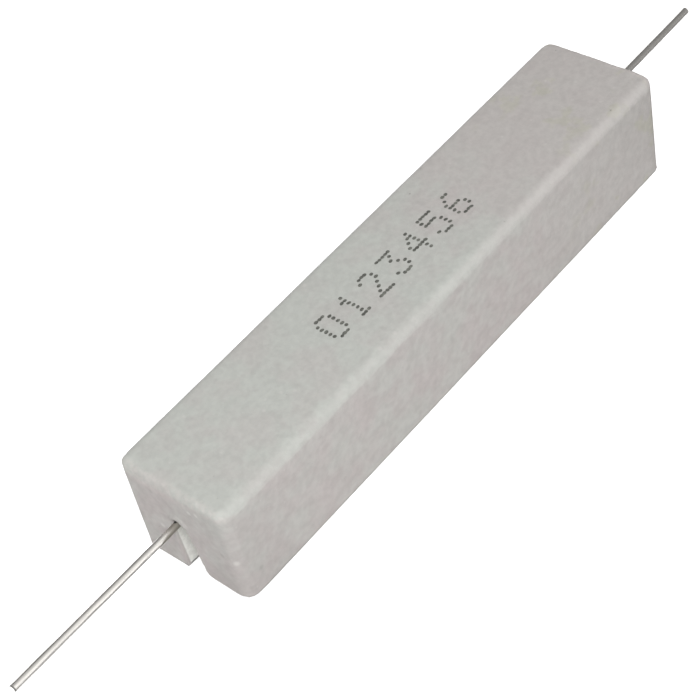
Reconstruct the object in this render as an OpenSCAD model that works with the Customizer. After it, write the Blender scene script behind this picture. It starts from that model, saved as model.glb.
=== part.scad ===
// Axial cement power resistor, lying on its open side with the printed face up.
// Millimetres. X runs along the leads, Z is up, and the origin is the centre of the
// face that it rests on. The near end is the one at minus X.

/* [Case] */
// Length of the ceramic case
case_l = 64; // [58:0.5:72]
// Width of the case across the leads
case_w = 13; // [12:0.1:15]
// Height of the case from its rim to its printed face
case_h = 12; // [11.6:0.1:14]
// Thickness of the two long walls
side_wall = 1.8; // [1.2:0.1:2.4]
// Thickness of the two notched end walls
end_wall = 2; // [1.2:0.1:2.6]
// Thickness of the printed face
top_wall = 1.9; // [1.2:0.1:2.1]
// Radius of the four upright edges
upright_edge_r = 1.3; // [0.8:0.05:1.8]
// Radius of the edges round the printed face
top_edge_r = 1; // [0.4:0.05:1.3]
// Radius of the outer edges round the rim
rim_edge_r = 0.5; // [0.2:0.05:0.7]
// Radius of the four upright corners of the trough
trough_corner_r = 0.9; // [0.5:0.05:1.4]

/* [Notches] */
// Radius of the rounded top of each notch
notch_top_r = 0.54; // [0.48:0.01:0.7]
// Gap between the lead and the top of its notch
notch_top_gap = 0.1; // [0.06:0.01:0.3]
// Place of the notch across the end wall
notch_y = 0.12; // [-0.1:0.01:0.2]
// Slope of the flank at plus Y, in degrees from upright
notch_left_slope = -1.5; // [-2:0.5:12]
// Slope of the flank at minus Y, in degrees from upright
notch_right_slope = 8.5; // [-2:0.5:12]
// Radius where the flank at plus Y meets the rim
notch_left_lip_r = 0.9; // [0.3:0.05:1.8]
// Radius where the flank at minus Y meets the rim
notch_right_lip_r = 1.5; // [0.3:0.05:1.8]

/* [Leads] */
// Diameter of the tinned lead
lead_d = 0.72; // [0.7:0.01:0.8]
// Diameter of the bare wire at the root, before the tin begins
bare_d = 0.7; // [0.6:0.01:0.7]
// Bare length that stands out of the case, as far as the lead's slight elbow
bare_out = 1; // [0.5:0.1:3]
// Free length of the near lead, from the case to its cut end
near_lead_out = 20.1; // [10:0.1:38]
// Free length of the far lead, from the case to its cut end
far_lead_out = 15; // [10:0.1:38]
// Place of the near lead across its end wall
near_lead_y = 0.27; // [0.1:0.01:0.3]
// Place of the far lead across its end wall
far_lead_y = 0; // [0:0.01:0.2]

/* [Wound element] */
// Cement between each cap and its end wall
cement_end = 4; // [2:0.1:8]
// Cement between the caps and the floor of the trough, behind the printed face
cement_cover = 0.37; // [0.2:0.01:0.7]
// How much deeper in the trough the element lies than its leads
element_drop = 0.16; // [0.08:0.01:0.18]
// Diameter of the core rod
core_d = 4.4; // [3.6:0.1:4.5]
// Length of each cap's skirt, with its end
cap_l = 5; // [3:0.1:7]
// Sheet thickness of the caps
cap_t = 0.3; // [0.2:0.02:0.35]
// Diameter of the resistance wire
wire_d = 0.3; // [0.2:0.02:0.36]
// Turns of the winding
turns = 28; // [16:1:32]

/* [Fits] */
// Clearance between the pieces that are sealed in the case
seat_gap = 0.02; // [0.01:0.005:0.04]

/* [Hidden] */

// A cut runs this far past the face that it opens
past = 1;
// The bare wire reaches this far into the tinned one at the elbow
elbow_overlap = 0.1;
// Faces round a full circle
round_fn = 64;
wire_fn = 48;
// Straight runs in the rounded top of a notch and in each rounded lip
notch_top_steps = 14;
lip_steps = 8;
// Straight runs in one turn of the winding, and sides of its wire
turn_steps = 16;
wire_sides = 5;

trough_l = case_l - 2 * end_wall;
trough_w = case_w - 2 * side_wall;
trough_h = case_h - top_wall;

element_l = trough_l - 2 * cement_end;
cap_r = core_d / 2 + seat_gap + cap_t;
core_l = element_l - 2 * cap_t - 2 * seat_gap;
winding_l = element_l - 2 * cap_l - 2 * seat_gap;
// The middle of each straight run still clears the core rod
winding_r = (core_d / 2 + seat_gap + wire_d / 2) / cos(180 / turn_steps);
winding_outer_r = winding_r + wire_d / 2;

// The element lies midway between its two leads, and the notches close just above them
element_y = (near_lead_y + far_lead_y) / 2;
element_z = trough_h - cement_cover - cap_r;
lead_z = element_z - element_drop;
elbow_x = case_l / 2 + bare_out;
notch_top_z = lead_z + lead_d / 2 + notch_top_gap - notch_top_r;

// Half of an edge's cross-section, from its inner side at u = 0 out to u = w
module edge_profile(w) {
    intersection() {
        union() {
            translate([0, rim_edge_r]) square([w, case_h - top_edge_r - rim_edge_r]);
            square([w - rim_edge_r, case_h - top_edge_r]);
            translate([0, rim_edge_r]) square([w - top_edge_r, case_h - rim_edge_r]);
            translate([w - top_edge_r, case_h - top_edge_r]) circle(top_edge_r, $fn = round_fn);
            translate([w - rim_edge_r, rim_edge_r]) circle(rim_edge_r, $fn = round_fn);
        }
        square([w, case_h]);
    }
}

// The block with every outer edge rounded: corners are turned, straight edges are drawn out
module rounded_block() {
    corner_x = case_l / 2 - upright_edge_r;
    corner_y = case_w / 2 - upright_edge_r;
    for (sx = [0, 1], sy = [0, 1])
        mirror([sx, 0, 0]) mirror([0, sy, 0]) translate([corner_x, corner_y, 0])
            rotate_extrude(angle = 90, $fn = round_fn) edge_profile(upright_edge_r);
    for (sy = [0, 1])
        mirror([0, sy, 0]) translate([-corner_x, 0, 0]) rotate([90, 0, 90])
            linear_extrude(2 * corner_x) edge_profile(case_w / 2);
    for (sx = [0, 1])
        mirror([sx, 0, 0]) translate([corner_x, corner_y, 0]) rotate([90, 0, 0])
            linear_extrude(2 * corner_y) edge_profile(upright_edge_r);
}

// Plan of the trough, drawn smaller all round by the inset
module trough_plan(inset) {
    r = trough_corner_r - inset;
    x = trough_l / 2 - trough_corner_r;
    y = trough_w / 2 - trough_corner_r;
    square([2 * (x + r), 2 * y], center = true);
    square([2 * x, 2 * (y + r)], center = true);
    for (sx = [-1, 1], sy = [-1, 1])
        translate([sx * x, sy * y]) circle(r, $fn = round_fn);
}

// Points of an arc, from angle a1 to angle a2
function arc(centre, r, a1, a2, steps) =
    [for (i = [0 : steps]) let (a = a1 + (a2 - a1) * i / steps) centre + r * [cos(a), sin(a)]];
// How far a flank stands from the middle of the notch at height z
function flank_reach(slope, z) = notch_top_r / cos(slope) + tan(slope) * (notch_top_z - z);
// Centre of the rounding between a flank and the rim
function lip_centre(side, slope, r) =
    [notch_y + side * (flank_reach(slope, r) + r / cos(slope)), r];

// Outline of a notch in its end wall: Y to the right, Z up
module notch_outline() {
    left = lip_centre(1, notch_left_slope, notch_left_lip_r);
    right = lip_centre(-1, notch_right_slope, notch_right_lip_r);
    polygon([
        [left[0], -past],
        each arc(left, notch_left_lip_r, 270, 180 + notch_left_slope, lip_steps),
        each arc([notch_y, notch_top_z], notch_top_r, notch_left_slope,
                 180 - notch_right_slope, notch_top_steps),
        each arc(right, notch_right_lip_r, -notch_right_slope, -90, lip_steps),
        [right[0], -past]
    ]);
}

module ceramic_case() {
    color([0.75, 0.74, 0.72]) difference() {
        union() rounded_block();
        translate([0, 0, -past]) linear_extrude(trough_h + past) trough_plan(0);
        for (sx = [0, 1])
            mirror([sx, 0, 0]) translate([-case_l / 2 - past, 0, 0]) rotate([90, 0, 90])
                linear_extrude(end_wall + 2 * past) notch_outline();
    }
}

// Puts a piece on the axis of the wound element
module on_element_axis() {
    translate([0, element_y, element_z]) children();
}

// A round bar along X from x1 to x2
module bar(r, x1, x2, fn) {
    translate([x1, 0, 0]) rotate([0, 90, 0]) cylinder(r = r, h = x2 - x1, $fn = fn);
}

// The space that the element and its leads take up in the cement
module element_space() {
    half = element_l / 2;
    skirt = half - cap_l;
    bar(winding_outer_r + seat_gap, -skirt, skirt, round_fn);
    bar(cap_r + seat_gap, -half, half, round_fn);
}

module cement_fill() {
    color([0.6, 0.59, 0.57]) difference() {
        linear_extrude(trough_h - seat_gap) trough_plan(seat_gap);
        on_element_axis() element_space();
        mirror([1, 0, 0]) bare_wire(bare_d / 2 + seat_gap, near_lead_y, past);
        bare_wire(bare_d / 2 + seat_gap, far_lead_y, past);
    }
}

module core_rod() {
    color([0.92, 0.91, 0.86]) on_element_axis() bar(core_d / 2, -core_l / 2, core_l / 2, round_fn);
}

// Ring of wire points at one step along the winding
function wire_ring(i, steps) =
    let (turn = 360 * turns * i / steps,
         x = (winding_l - wire_d) * (i / steps - 0.5))
    [for (k = [0 : wire_sides - 1])
        let (a = 360 * k / wire_sides, r = winding_r + wire_d / 2 * cos(a))
        [x + wire_d / 2 * sin(a), r * cos(turn), r * sin(turn)]];

module winding() {
    steps = turns * turn_steps;
    points = [for (i = [0 : steps]) each wire_ring(i, steps)];
    last = steps * wire_sides;
    sides = [for (i = [0 : steps - 1], k = [0 : wire_sides - 1])
        let (a = i * wire_sides + k, b = i * wire_sides + (k + 1) % wire_sides)
        each [[a, b, b + wire_sides], [a, b + wire_sides, a + wire_sides]]];
    start = [for (k = [wire_sides - 1 : -1 : 0]) k];
    end = [for (k = [0 : wire_sides - 1]) last + k];
    color([0.55, 0.5, 0.45]) on_element_axis()
        polyhedron(points, concat(sides, [start, end]), convexity = 10);
}

// Pressed cup on the end of the core rod at plus X
module cap() {
    half = element_l / 2;
    difference() {
        bar(cap_r, half - cap_l, half, round_fn);
        bar(core_d / 2 + seat_gap, half - cap_l - past, half - cap_t, round_fn);
    }
}

module near_cap() {
    color([0.7, 0.7, 0.72]) on_element_axis() mirror([1, 0, 0]) cap();
}

module far_cap() {
    color([0.7, 0.7, 0.72]) on_element_axis() cap();
}

// Straight bare wire from the cap at plus X out to the elbow, and on past both by the overrun
module bare_wire(r, lead_y, overrun) {
    run = [elbow_x - element_l / 2, lead_y - element_y, lead_z - element_z];
    translate([element_l / 2, element_y, element_z])
        rotate([0, 90 - asin(run[2] / norm(run)), atan2(run[1], run[0])])
            translate([0, 0, -overrun]) cylinder(r = r, h = norm(run) + 2 * overrun, $fn = wire_fn);
}

// Wire welded flat to the cap at plus X: bare out to its elbow, then tinned to its cut end
module lead(lead_y, out) {
    difference() {
        bare_wire(bare_d / 2, lead_y, elbow_overlap);
        translate([0, -case_w, 0]) cube([element_l / 2, 2 * case_w, case_h]);
    }
    translate([0, lead_y, lead_z]) bar(lead_d / 2, elbow_x, case_l / 2 + out, wire_fn);
}

module near_lead() {
    color([0.8, 0.8, 0.78]) mirror([1, 0, 0]) lead(near_lead_y, near_lead_out);
}

module far_lead() {
    color([0.8, 0.8, 0.78]) lead(far_lead_y, far_lead_out);
}

ceramic_case();
cement_fill();
core_rod();
winding();
near_cap();
far_cap();
near_lead();
far_lead();
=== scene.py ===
"""Finish of an axial cement resistor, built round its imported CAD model.

The case, its cement, the two leads and the printed digits are modelled in
millimetres and brought to metres at the end. X runs along the leads, the near
end is at minus X, and Z is up from the open side to the printed face.
"""

import math
import random

import bmesh
import bpy
import numpy as np
from mathutils import Euler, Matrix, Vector


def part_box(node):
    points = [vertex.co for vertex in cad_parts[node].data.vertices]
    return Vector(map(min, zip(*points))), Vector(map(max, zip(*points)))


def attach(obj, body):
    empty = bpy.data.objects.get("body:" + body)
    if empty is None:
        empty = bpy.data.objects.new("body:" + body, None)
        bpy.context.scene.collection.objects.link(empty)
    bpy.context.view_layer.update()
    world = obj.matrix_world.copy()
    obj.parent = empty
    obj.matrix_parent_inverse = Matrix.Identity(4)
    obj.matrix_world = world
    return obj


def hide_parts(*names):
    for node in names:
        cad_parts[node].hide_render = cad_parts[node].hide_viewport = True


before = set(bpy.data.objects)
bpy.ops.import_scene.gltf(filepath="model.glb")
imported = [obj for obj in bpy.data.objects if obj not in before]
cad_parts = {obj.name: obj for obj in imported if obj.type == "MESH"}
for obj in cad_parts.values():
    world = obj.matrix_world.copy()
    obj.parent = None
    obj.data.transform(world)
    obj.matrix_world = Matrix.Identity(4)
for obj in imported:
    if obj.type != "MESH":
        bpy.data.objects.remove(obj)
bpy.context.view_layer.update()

bl_info = {
    "name": "Axial cement resistor",
    "version": (1, 0, 0),
    "blender": (4, 5, 0),
    "location": "View3D > Sidebar > Resistor",
    "description": "Builds the finish of an axial cement resistor round its CAD model",
    "category": "Object",
}

MM = 0.001
CASE_LOW, CASE_HIGH = (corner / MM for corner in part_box("ceramic_case"))
CEMENT_LOW, CEMENT_HIGH = (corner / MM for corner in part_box("cement_fill"))
HALF_L, HALF_W, CASE_H = CASE_HIGH
CAP_LOW, CAP_HIGH = (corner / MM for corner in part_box("far_cap"))
ELEMENT_END = CAP_HIGH.x
ELEMENT_Y, ELEMENT_Z = (CAP_LOW.y + CAP_HIGH.y) / 2, (CAP_LOW.z + CAP_HIGH.z) / 2
CAP_R = 2.52
# The CAD leads: their radii, and their places across the case and over the rim
LEAD_R, BARE_R = 0.36, 0.35
NEAR_LEAD_Y = 0.27
FAR_LEAD_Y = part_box("far_lead")[0].y / MM + LEAD_R
LEAD_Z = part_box("near_lead")[0].z / MM + LEAD_R
NEAR_TIP_X, FAR_TIP_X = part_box("near_lead")[0].x / MM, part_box("far_lead")[1].x / MM
# The dressed leads run a little aslant, from an elbow to a tip
NEAR_ELBOW_Y, NEAR_TIP_Y = 0.17, 0.36
FAR_ELBOW_Y, FAR_TIP_Y = -0.06, 0.06
ELBOW_OUT = 1.0
# How far a cutter runs past the face that it opens
PAST = 1.0
# Room over the case for the ink, inside the CAD box
INK_ROOM = 0.02
# Radius of the arches of card that the leads mirror
CARD_R = 60.0
# Black, mixed in for shade and under the cards' own glow
BLACK = (0, 0, 0, 1)


# Properties


def length(name, description, default_mm):
    """A length property, kept in metres."""
    return bpy.props.FloatProperty(
        name=name, description=description, default=default_mm * MM, min=0, precision=5,
        unit="LENGTH", subtype="DISTANCE",
    )


def colour(name, description, default):
    """A linear colour property."""
    return bpy.props.FloatVectorProperty(
        name=name, description=description, default=default, size=3, min=0, max=1,
        subtype="COLOR",
    )


class CaseSettings(bpy.types.PropertyGroup):
    """Sizes and colours of the ceramic case."""

    upright_edge_r: length("Upright edges", "Radius of the four upright edges", 1.3)
    far_edge_r: length("Far right edge", "Radius of the far upright edge at minus Y", 0.5)
    top_edge_r: length("Right top edge", "Radius of the top's long edge at minus Y", 1.25)
    left_top_edge_r: length("Left top edge", "Radius of the top's long edge at plus Y", 0.85)
    end_top_edge_r: length("End top edges", "Radius of the top edges over the ends", 0.55)
    rim_edge_r: length("Rim edges", "Radius of the outer edges of the rim", 0.32)
    end_rim_edge_r: length("End rim edges", "Radius of the rim's edges at the ends", 0.12)
    trough_corner_r: length("Trough corners", "Radius of the trough's corners", 0.9)
    notch_r: length("Notch top", "Radius of the rounded top of a notch", 0.5)
    notch_gap: length("Notch gap", "Gap between a lead and the top of its notch", 0.04)
    notch_y: length("Notch place", "Place of the notches across the case", 0.12)
    notch_room: length("Notch room", "Room beside a lead at plus Y", 0.48)
    left_lip_r: length("Left lip", "Radius of the notch's lip at plus Y", 0.35)
    right_lip_r: length("Right lip", "Radius of the notch's lip at minus Y", 0.95)
    body: colour("Body", "Colour of the fired ceramic", (0.522, 0.534, 0.5))
    warm: colour("Warm patches", "Colour of its faint warm patches", (0.524, 0.484, 0.47))
    straw: colour("Straw patches", "Colour of the far end's patches", (0.5, 0.485, 0.415))
    # The worn colours also paint the highlight along the top's rounded edges
    worn: colour("Worn edges", "Colour where the edges are rubbed", (0.626, 0.602, 0.58))
    worn_end: colour("Worn ends", "Colour of the rubbed end edges", (0.645, 0.59, 0.565))
    # Pale tone: painted over the notch walls as painted light, and used for the lip and the
    # pale marks
    pale_tone: colour("Dust", "Colour of the pale notch walls", (0.9, 0.9, 0.86))
    # Also the base of the painted shade in the notches and of the painted shadow along the
    # foot
    dirt_and_shade: colour("Pits", "Colour at the bottom of pits", (0.3, 0.29, 0.27))


class CementSettings(bpy.types.PropertyGroup):
    """Sizes and colours of the cement."""

    relief: length("Relief", "Depth of the rough open face", 0.25)
    body: colour("Body", "Colour of the set cement", (0.4, 0.39, 0.365))
    sand: colour("Sand", "Colour of the sand grains in it", (0.58, 0.56, 0.52))


class LeadSettings(bpy.types.PropertyGroup):
    """Sizes and colours of the two leads."""

    tinned_r: length("Tinned radius", "Radius of the tinned wire", 0.375)
    bare_r: length("Bare radius", "Radius of the bare wire at the root", 0.35)
    tin: colour("Tin", "Colour of the tinned wire", (0.94, 0.91, 0.865))
    bare: colour("Bare wire", "Colour of the dull wire at the root", (0.5, 0.47, 0.42))


class PrintSettings(bpy.types.PropertyGroup):
    """Place and colour of the printed digits."""

    digits: bpy.props.StringProperty(
        name="Digits", description="Plain digits on the printed face", default="0123456"
    )
    first_x: length("Start", "First column of the first digit, from the near end", 21.1)
    top_y: length("Top row", "Top row of dots, from the middle of the case", 1.38)
    digit_pitch: length("Digit pitch", "From one digit to the next", 3.04)
    column_pitch: length("Column pitch", "From one column of dots to the next", 0.41)
    row_pitch: length("Row pitch", "From one row of dots to the next", 0.52)
    ink: colour("Ink", "Colour of the ink", (0.095, 0.097, 0.085))


class StageSettings(bpy.types.PropertyGroup):
    """Light and floor."""

    ambient: bpy.props.FloatProperty(
        name="Ambient", description="Strength of the even light", default=0.5, min=0
    )
    key_power: bpy.props.FloatProperty(
        name="Key", description="Power of the soft key lamp", default=0.4, min=0,
        unit="POWER",
    )
    floor: colour("Floor", "Colour of the floor", (0.75, 0.75, 0.75))


# Modelling helpers


def mm(metres):
    """A length property in the millimetres that the pieces are modelled in."""
    return metres / MM


def deselect_all():
    """Object mode with nothing selected."""
    if bpy.context.mode != "OBJECT":
        bpy.ops.object.mode_set(mode="OBJECT")
    bpy.ops.object.select_all(action="DESELECT")


def activate(obj):
    """Makes obj the only selected object, and the active one."""
    deselect_all()
    obj.select_set(True)
    bpy.context.view_layer.objects.active = obj


def apply_place():
    """Puts the chosen objects' place, turn and size into their meshes."""
    bpy.ops.object.transform_apply(location=True, rotation=True, scale=True)


def add_box(name, low, high):
    """A box between two corners."""
    deselect_all()
    low, high = Vector(low), Vector(high)
    bpy.ops.mesh.primitive_cube_add(size=1, location=(low + high) / 2, scale=high - low)
    apply_place()
    box = bpy.context.object
    box.name = box.data.name = name
    return box


def add_bar(name, start, end, radius, sides):
    """A round bar between two points."""
    deselect_all()
    start, end = Vector(start), Vector(end)
    run = end - start
    bpy.ops.mesh.primitive_cylinder_add(
        vertices=sides, radius=radius, depth=run.length, location=(start + end) / 2,
        rotation=run.to_track_quat("Z", "Y").to_euler(),
    )
    apply_place()
    bar = bpy.context.object
    bar.name = bar.data.name = name
    return bar


def edit(obj):
    """Edit mode on obj with nothing selected."""
    activate(obj)
    bpy.ops.object.mode_set(mode="EDIT")
    bpy.ops.mesh.select_all(action="DESELECT")


def select(obj, kind, wanted):
    """In edit mode, selects the vertices, edges or faces that the test wants."""
    bpy.ops.mesh.select_mode(type=kind)
    bpy.ops.mesh.select_all(action="DESELECT")
    mesh = bmesh.from_edit_mesh(obj.data)
    for part in {"VERT": mesh.verts, "EDGE": mesh.edges, "FACE": mesh.faces}[kind]:
        if wanted(part):
            part.select_set(True)
    mesh.select_flush_mode()
    bmesh.update_edit_mesh(obj.data)


def leave_edit():
    """Back to object mode."""
    bpy.ops.object.mode_set(mode="OBJECT")


def middle(edge):
    """The middle of an edge."""
    return (edge.verts[0].co + edge.verts[1].co) / 2


def runs_along(edge, axis):
    """Whether an edge is parallel to an axis, given as 0, 1 or 2."""
    run = edge.verts[1].co - edge.verts[0].co
    return abs(run[axis]) > 0.999 * run.length


def modifier(obj, kind, **settings):
    """Adds a modifier and applies it."""
    activate(obj)
    added = obj.modifiers.new(kind.title(), kind)
    for name, value in settings.items():
        setattr(added, name, value)
    bpy.ops.object.modifier_apply(modifier=added.name)


def cut(obj, cutters):
    """Takes the cutters out of obj, and removes them."""
    for cutter in cutters:
        modifier(obj, "BOOLEAN", object=cutter, operation="DIFFERENCE", solver="EXACT")
        bpy.data.objects.remove(cutter)


def weights(obj, name, values):
    """A vertex group with one weight for each vertex, rounded to even steps."""
    group = obj.vertex_groups.new(name=name)
    steps = 50
    levels = np.round(np.clip(values, 0, 1) * steps).astype(int)
    for level in np.unique(levels):
        if level:
            chosen = np.flatnonzero(levels == level).tolist()
            group.add(chosen, level / steps, "REPLACE")
    return group.name


def points(obj):
    """The vertices of obj as an array of rows."""
    co = np.empty(len(obj.data.vertices) * 3)
    obj.data.vertices.foreach_get("co", co)
    return co.reshape(-1, 3)


def smoothstep(values, start, end):
    """0 before start and 1 after end, with an even turn between them."""
    t = np.clip((values - start) / (end - start), 0, 1)
    return t * t * (3 - 2 * t)


def relief_texture(name, size, **settings):
    """A cloudy texture for a Displace modifier, of a size in millimetres."""
    texture = bpy.data.textures.new(name, "CLOUDS")
    texture.noise_scale = size
    for key, value in settings.items():
        setattr(texture, key, value)
    return texture


def finish_piece(obj, name, material, replaced=()):
    """Brings a finished piece to metres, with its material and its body."""
    activate(obj)
    obj.name = obj.data.name = name
    bpy.ops.transform.resize(value=(MM, MM, MM), center_override=(0, 0, 0))
    apply_place()
    obj.vertex_groups.clear()
    obj.data.materials.clear()
    obj.data.materials.append(material)
    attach(obj, "root")
    if replaced:
        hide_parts(*replaced)


# Shader groups


def socket_name(key):
    """The name of the socket that a keyword stands for."""
    return key.replace("_", " ").title()


def new_group(name, result, **defaults):
    """A shader group from a vector and some values to one result."""
    tree = bpy.data.node_groups.new(name, "ShaderNodeTree")
    add = tree.interface.new_socket
    add(name="Vector", in_out="INPUT", socket_type="NodeSocketVector")
    for key, default in defaults.items():
        made = add(name=socket_name(key), in_out="INPUT", socket_type="NodeSocketFloat")
        made.default_value = default
    add(name=result, in_out="OUTPUT", socket_type="NodeSocketFloat")
    given = tree.nodes.new("NodeGroupInput").outputs
    return tree, given, tree.nodes.new("NodeGroupOutput").inputs[result]


def node(tree, kind, inputs=None, **settings):
    """A node with its settings, its values and its links."""
    made = tree.nodes.new("ShaderNode" + kind)
    for name, value in settings.items():
        setattr(made, name, value)
    for name, value in (inputs or {}).items():
        if isinstance(value, bpy.types.NodeSocket):
            tree.links.new(value, made.inputs[name])
        else:
            made.inputs[name].default_value = value
    return made


def maths(tree, operation, first, second=0.0, third=0.0, clamp=False):
    """A Math node's output."""
    made = node(tree, "Math", {0: first, 1: second, 2: third}, operation=operation,
                use_clamp=clamp)
    return made.outputs[0]


def product(tree, first, *others):
    """The product of values and outputs."""
    for other in others:
        first = maths(tree, "MULTIPLY", first, other)
    return first


def ramp(tree, value, low, high, out_low=0.0, out_high=1.0):
    """A smooth step of a value, from out_low at low to out_high at high."""
    made = node(
        tree, "MapRange",
        {"Value": value, "From Min": low, "From Max": high, "To Min": out_low,
         "To Max": out_high},
        interpolation_type="SMOOTHSTEP",
    )
    return made.outputs["Result"]


def mix(tree, factor, first, second):
    """A colour between two colours."""
    made = tree.nodes.new("ShaderNodeMix")
    made.data_type = "RGBA"
    for socket, value in ((made.inputs[0], factor), (made.inputs[6], first),
                          (made.inputs[7], second)):
        if isinstance(value, bpy.types.NodeSocket):
            tree.links.new(value, socket)
        else:
            socket.default_value = value
    return made.outputs[2]


def noise_group():
    """Cloudy patches from 0 to 1, of a size in millimetres."""
    tree, given, result = new_group("Cloudy Patches", "Mask", size=1.0, detail=3.0,
                                    low=0.4, high=0.6)
    scale = maths(tree, "DIVIDE", 1.0, given["Size"])
    cloud = node(tree, "TexNoise", {"Vector": given["Vector"], "Scale": scale,
                                    "Detail": given["Detail"], "Roughness": 0.55})
    mask = ramp(tree, cloud.outputs["Fac"], given["Low"], given["High"])
    tree.links.new(mask, result)
    return tree


def grain_group():
    """Height of a fine fired or struck surface, of a size in millimetres."""
    tree, given, result = new_group("Fine Grain", "Height", size=0.3)
    scale = maths(tree, "DIVIDE", 1.0, given["Size"])
    fine = node(tree, "TexNoise", {"Vector": given["Vector"], "Scale": scale,
                                   "Detail": 5.0, "Roughness": 0.62})
    scale = product(tree, scale, 0.21)
    coarse = node(tree, "TexNoise", {"Vector": given["Vector"], "Scale": scale,
                                     "Detail": 2.0})
    height = maths(tree, "MULTIPLY_ADD", coarse.outputs["Fac"], 0.7, fine.outputs["Fac"])
    tree.links.new(height, result)
    return tree


def speck_group():
    """Scattered specks, of a size and a distance apart in millimetres."""
    tree, given, result = new_group("Scattered Specks", "Mask", size=0.1, apart=1.5,
                                    share=0.3)
    warp = node(tree, "TexNoise", {"Vector": given["Vector"], "Scale": 6.0})
    bent = node(tree, "VectorMath", {0: warp.outputs["Color"], 1: (0.12, 0.12, 0.12),
                                     2: given["Vector"]}, operation="MULTIPLY_ADD")
    scale = maths(tree, "DIVIDE", 1.0, given["Apart"])
    cells = node(tree, "TexVoronoi", {"Vector": bent.outputs[0], "Scale": scale})
    distance = product(tree, cells.outputs["Distance"], given["Apart"])
    draw = node(tree, "SeparateColor", {0: cells.outputs["Color"]})
    chosen = maths(tree, "LESS_THAN", draw.outputs[0], given["Share"])
    reach = product(tree, given["Size"], maths(tree, "ADD", draw.outputs[1], 0.5))
    spot = ramp(tree, distance, product(tree, reach, 0.4), reach, 1.0, 0.0)
    tree.links.new(product(tree, spot, chosen), result)
    return tree


def edge_wear_and_highlight_group():
    """Where the edges of a block's top are rubbed pale and take a painted highlight, with
    sizes in millimetres.
    """
    tree, given, result = new_group("Edge Wear And Highlight", "Mask", half_length=32.0,
                                    half_width=6.5, height=12.0, reach=0.6,
                                    raggedness=0.4)
    along, across, up = node(tree, "SeparateXYZ", {0: given["Vector"]}).outputs
    from_end = maths(tree, "SUBTRACT", given["Half Length"],
                     maths(tree, "ABSOLUTE", along))
    from_side = maths(tree, "SUBTRACT", given["Half Width"],
                      maths(tree, "ABSOLUTE", across))
    from_top = maths(tree, "ABSOLUTE", maths(tree, "SUBTRACT", given["Height"], up))
    # Small only where the top and a side are both near, so along the top's edges
    second = maths(tree, "MAXIMUM", maths(tree, "MINIMUM", from_end, from_side),
                   product(tree, 0.8, from_top))
    ragged = node(tree, "TexNoise", {"Vector": given["Vector"], "Scale": 1.3,
                                     "Detail": 4.0})
    shift = product(tree, maths(tree, "SUBTRACT", ragged.outputs["Fac"], 0.5),
                    given["Raggedness"])
    mask = ramp(tree, maths(tree, "ADD", second, shift),
                product(tree, given["Reach"], 0.4), given["Reach"], 1.0, 0.0)
    tree.links.new(mask, result)
    return tree


GROUPS = {}


def place_group(tree, name, vector, **values):
    """Puts a shared group in a material and returns its only output."""
    makers = {"patches": noise_group, "grain": grain_group, "specks": speck_group,
              "edge_wear_and_highlight": edge_wear_and_highlight_group}
    if name not in GROUPS:
        GROUPS[name] = makers[name]()
    made = tree.nodes.new("ShaderNodeGroup")
    made.node_tree = GROUPS[name]
    tree.links.new(vector, made.inputs["Vector"])
    for key, value in values.items():
        made.inputs[socket_name(key)].default_value = value
    return made.outputs[0]


def new_material(name):
    """A material with its tree, its shader and the object's own place in millimetres."""
    material = bpy.data.materials.new(name)
    material.use_nodes = True
    tree = material.node_tree
    shader = tree.nodes["Principled BSDF"]
    place = tree.nodes.new("ShaderNodeTexCoord")
    in_mm = node(tree, "Mapping", {"Vector": place.outputs["Object"],
                                   "Scale": (1 / MM, 1 / MM, 1 / MM)})
    return material, tree, shader, in_mm.outputs[0]


def bump(tree, shader, height, depth_mm):
    """Raises the surface by a height from 0 to 1, times a depth."""
    made = node(tree, "Bump", {"Height": height, "Distance": depth_mm * MM,
                               "Strength": 1.0})
    tree.links.new(made.outputs[0], shader.inputs["Normal"])


def opaque(rgb):
    """A colour with its alpha."""
    return (*rgb, 1.0)


# Materials


# Middle of the painted shade in the gap above the near lead's root
LEAD_GAP_SHADE = (-HALF_L - 0.12, 0.3, LEAD_Z + 0.25)
# Single marks by the near end, each with its place and its reach
PALE_MARKS = (((-31.7, -6.05, 5.36), 0.45), ((-32, -2.1, 10.1), 0.35),
              ((-32, -3, 10.4), 0.35), ((-32, 2.65, 5.1), 0.4))
DARK_MARKS = (((-32, -4.8, 6), 0.35), ((-29.7, -6.5, 2.9), 0.4), ((-32, 2.5, 10), 0.35))


def distance_from(tree, place, point):
    """How far the shaded spot is from a point, in millimetres."""
    made = node(tree, "VectorMath", {0: place, 1: point}, operation="DISTANCE")
    return made.outputs["Value"]


def lead_gap_shade(tree, place):
    """Painted shade in the gap above the root of the near lead."""
    return ramp(tree, distance_from(tree, place, LEAD_GAP_SHADE), 0.18, 0.3, 0.98, 0)


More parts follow.
